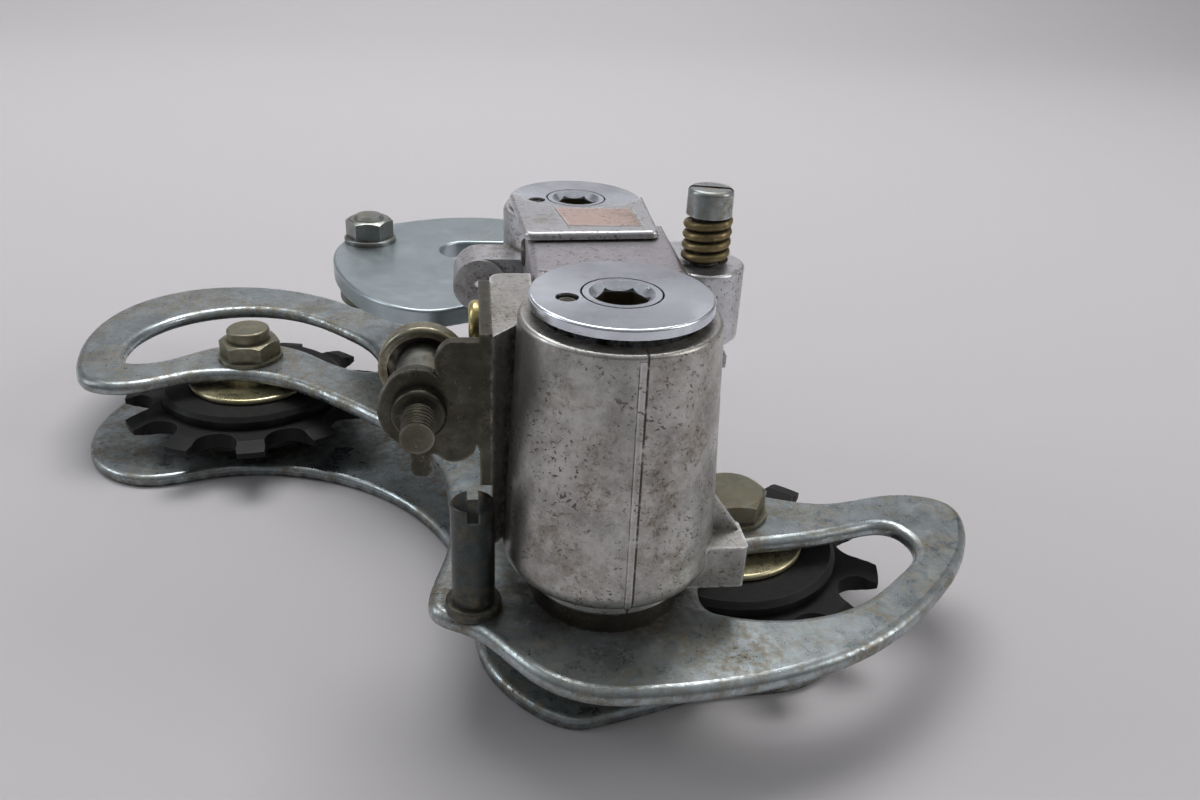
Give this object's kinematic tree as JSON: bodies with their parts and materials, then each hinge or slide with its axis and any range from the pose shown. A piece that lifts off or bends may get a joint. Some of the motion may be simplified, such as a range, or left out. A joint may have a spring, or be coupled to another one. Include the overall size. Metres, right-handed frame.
{
  "type": "rear bicycle derailleur",
  "caption": "Long-cage rear derailleur with claw hanger, sprung parallelogram, looped cage plates and black toothed pulleys.",
  "frame": {"origin": "wheel axle's centre in the claw's slot, on the hanger's inboard face", "axes": "+Z outboard along the axle and both pivot bolts, +Y from the cage pivot up to the mounting pivot, +X to the front of the bicycle"},
  "size_m": [0.1542, 0.1351, 0.0652],
  "materials": {
    "zinc_hanger": "zinc plated sheet steel, dulled",
    "chrome_bolt": "chrome plated steel",
    "dark_steel": "oiled steel with old grease",
    "zinc_bolt": "zinc plated steel with grime",
    "cast_aluminium": "polished die casting, pitted and stained",
    "chrome_cap": "chrome plate, chipped at the rim",
    "spring_steel": "oiled spring wire",
    "copper_badge": "faded copper-coloured blank foil",
    "brass_spring": "yellow passivated wire with grime",
    "link_alloy": "anodised sheet alloy",
    "clamp_zinc": "zinc plated stamping with brown grime",
    "brass_rivet": "yellow passivated rivet",
    "zinc_cage": "zinc plated sheet steel, worn",
    "dark_post": "dark steel with grime",
    "worn_bolt": "zinc plated bolt with brown grime",
    "yellow_zinc": "yellow passivated pressed steel",
    "black_plastic": "black nylon, dusty"
  },
  "bodies": {
    "hanger": {"hanger_bracket": "zinc_hanger", "mounting_bolt": "chrome_bolt", "upper_pivot_collar": "dark_steel", "dropout_bolt": "zinc_bolt", "dropout_nut": "zinc_bolt", "dropout_washer": "zinc_bolt"},
    "upper_knuckle": {"upper_knuckle": "cast_aluminium", "upper_pivot_cap": "chrome_cap", "upper_pivot_spring": "spring_steel", "badge_plate": "copper_badge", "outer_link_upper_pin": "dark_steel", "inner_link_upper_pin": "dark_steel", "high_limit_spring": "brass_spring", "low_limit_spring": "brass_spring"},
    "high_limit_screw": {"high_limit_screw": "zinc_bolt"},
    "low_limit_screw": {"low_limit_screw": "zinc_bolt"},
    "outer_link": {"outer_link": "link_alloy"},
    "inner_link": {"inner_link": "link_alloy", "return_spring": "spring_steel"},
    "lower_knuckle": {"lower_knuckle": "cast_aluminium", "lower_pivot_cap": "chrome_cap", "lower_pivot_spring": "spring_steel", "outer_link_lower_pin": "dark_steel", "inner_link_lower_pin": "dark_steel", "cable_clamp_bracket": "clamp_zinc", "cable_clamp_rivets": "brass_rivet", "cable_clamp_bolt": "zinc_bolt", "cable_clamp_washer": "clamp_zinc", "cable_clamp_collar": "zinc_bolt", "cable_clamp_nut": "zinc_bolt"},
    "cage": {"cage_outer_plate": "zinc_cage", "cage_inner_plate": "zinc_cage", "cage_pivot_bolt": "chrome_bolt", "lower_pivot_collar": "dark_steel", "cage_stop_post": "dark_post", "guide_pulley_bolt": "worn_bolt", "tension_pulley_bolt": "worn_bolt", "guide_bushing": "dark_steel", "tension_bushing": "dark_steel", "guide_outer_dust_cap": "yellow_zinc", "guide_inner_dust_cap": "yellow_zinc", "tension_outer_dust_cap": "yellow_zinc", "tension_inner_dust_cap": "yellow_zinc"},
    "guide_pulley": {"guide_pulley": "black_plastic"},
    "tension_pulley": {"tension_pulley": "black_plastic"}
  },
  "joints": [
    {"name": "mounting_pivot", "type": "hinge", "parent": "hanger", "child": "upper_knuckle", "pos_m": [0.0188, -0.0239, 0.01], "axis": [0, 0, 1], "range_deg": [0, 30], "stiffness_Nm_per_rad": 0.3, "springref_deg": -91.67},
    {"name": "outer_link_pivot", "type": "hinge", "parent": "upper_knuckle", "child": "outer_link", "pos_m": [0.0203, -0.0404, 0.0167], "axis": [1, 0, 0], "range_deg": [0, 50], "stiffness_Nm_per_rad": 0.4, "springref_deg": -91.67},
    {"name": "inner_link_pivot", "type": "hinge", "parent": "upper_knuckle", "child": "inner_link", "pos_m": [0.0203, -0.0404, 0.0017], "axis": [1, 0, 0], "range_deg": [0, 50]},
    {"name": "lower_knuckle_pivot", "type": "hinge", "parent": "outer_link", "child": "lower_knuckle", "pos_m": [0.0203, -0.0649, 0.0167], "axis": [1, 0, 0], "range_deg": [-50, 0]},
    {"name": "cage_pivot", "type": "hinge", "parent": "lower_knuckle", "child": "cage", "pos_m": [0.0188, -0.0804, 0], "axis": [0, 0, 1], "range_deg": [0, 132], "stiffness_Nm_per_rad": 0.2, "springref_deg": -126.05},
    {"name": "guide_pulley_spin", "type": "hinge", "parent": "cage", "child": "guide_pulley", "pos_m": [0.0404, -0.0633, -0.02575], "axis": [0, 0, 1], "continuous": true},
    {"name": "tension_pulley_spin", "type": "hinge", "parent": "cage", "child": "tension_pulley", "pos_m": [-0.0422, -0.0054, -0.02575], "axis": [0, 0, 1], "continuous": true},
    {"name": "high_limit_turn", "type": "hinge", "parent": "upper_knuckle", "child": "high_limit_screw", "pos_m": [0.035, -0.0534, 0.0197], "axis": [0, 0, 1], "range_deg": [-360, 360]},
    {"name": "low_limit_turn", "type": "hinge", "parent": "upper_knuckle", "child": "low_limit_screw", "pos_m": [0.0398, -0.035, 0.0131], "axis": [0, 0, 1], "range_deg": [-360, 360]}
  ],
  "couplings": [
    {"joint": "inner_link_pivot", "follows": "outer_link_pivot", "ratio": 1},
    {"joint": "lower_knuckle_pivot", "follows": "outer_link_pivot", "ratio": -1}
  ]
}
